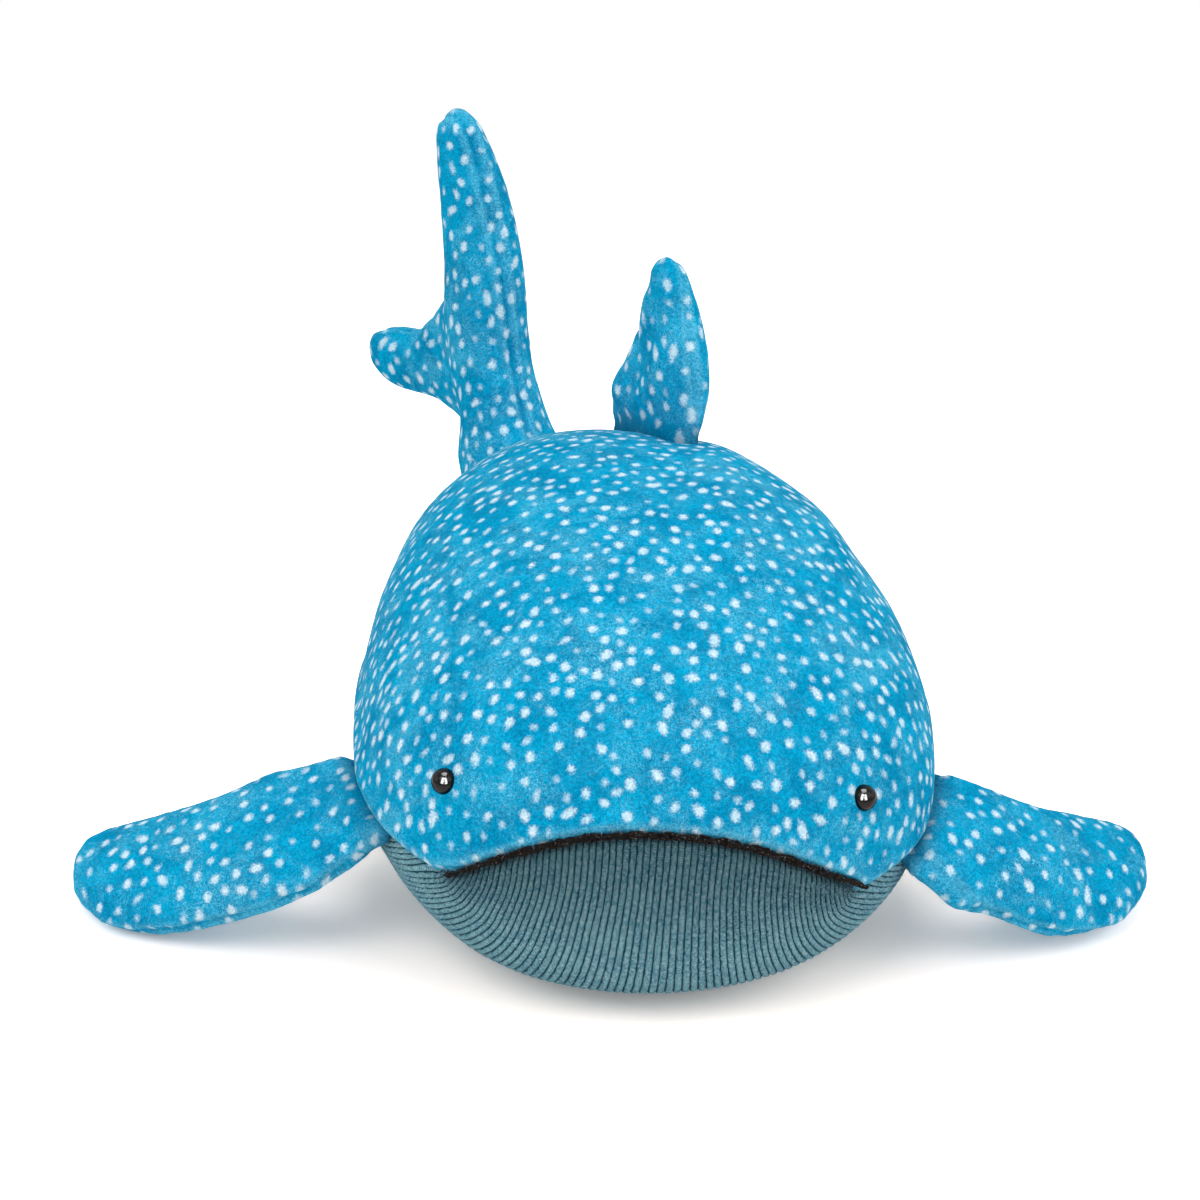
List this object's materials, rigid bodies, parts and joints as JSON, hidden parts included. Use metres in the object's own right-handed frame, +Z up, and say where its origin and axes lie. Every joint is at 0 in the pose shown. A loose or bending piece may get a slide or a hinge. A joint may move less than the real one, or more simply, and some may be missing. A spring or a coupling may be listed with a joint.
{
  "type": "plush whale shark",
  "caption": "Stuffed toy whale shark with a spotted blue pile back, a ribbed knit belly, a yarn mouth line, bead eyes, drooping side fins, a back fin and an upright forked tail.",
  "frame": {"origin": "middle of the flat patch of belly that the toy rests on", "axes": "+Z up from the surface it rests on, -Y the way the snout points, +Y towards the tail, +X the toy's left side"},
  "size_m": [0.4321, 0.4513, 0.225],
  "materials": {
    "plush_blue": "short velour pile with white dots",
    "rib_knit": "fine ribbed knit",
    "yarn_black": "fuzzy twisted yarn",
    "eye_black": "polished bead",
    "washer_white": "moulded",
    "fibre_white": "loose polyester fibre"
  },
  "bodies": {
    "torso": {"back_panel": "plush_blue", "belly_panel": "rib_knit", "body_filling": "fibre_white", "mouth_yarn": "yarn_black", "left_eye": "eye_black", "right_eye": "eye_black", "left_eye_washer": "washer_white", "right_eye_washer": "washer_white"},
    "left_fin": {"left_fin_upper_panel": "plush_blue", "left_fin_lower_panel": "plush_blue", "left_fin_filling": "fibre_white"},
    "right_fin": {"right_fin_upper_panel": "plush_blue", "right_fin_lower_panel": "plush_blue", "right_fin_filling": "fibre_white"},
    "dorsal_fin": {"dorsal_fin_left_panel": "plush_blue", "dorsal_fin_right_panel": "plush_blue", "dorsal_fin_filling": "fibre_white"},
    "tail": {"tail_left_panel": "plush_blue", "tail_right_panel": "plush_blue", "tail_filling": "fibre_white"}
  },
  "joints": [
    {"name": "left_fin_lift", "type": "hinge", "parent": "torso", "child": "left_fin", "pos_m": [0.1115, -0.08853, 0.04703], "axis": [-0.2282, -0.9237, -0.3079], "range_deg": [0, 50], "stiffness_Nm_per_rad": 0.02},
    {"name": "right_fin_lift", "type": "hinge", "parent": "torso", "child": "right_fin", "pos_m": [-0.1115, -0.08853, 0.04703], "axis": [-0.2282, 0.9237, 0.3079], "range_deg": [0, 50], "stiffness_Nm_per_rad": 0.02},
    {"name": "dorsal_fin_sway", "type": "hinge", "parent": "torso", "child": "dorsal_fin", "pos_m": [0.02456, 0.06916, 0.16808], "axis": [-0.4545, 0.8422, -0.2899], "range_deg": [-30, 30], "stiffness_Nm_per_rad": 0.05},
    {"name": "tail_swing", "type": "hinge", "parent": "torso", "child": "tail", "pos_m": [-0.031, 0.195, 0.06], "axis": [0, 0, 1], "range_deg": [-20, 20], "stiffness_Nm_per_rad": 0.2}
  ]
}
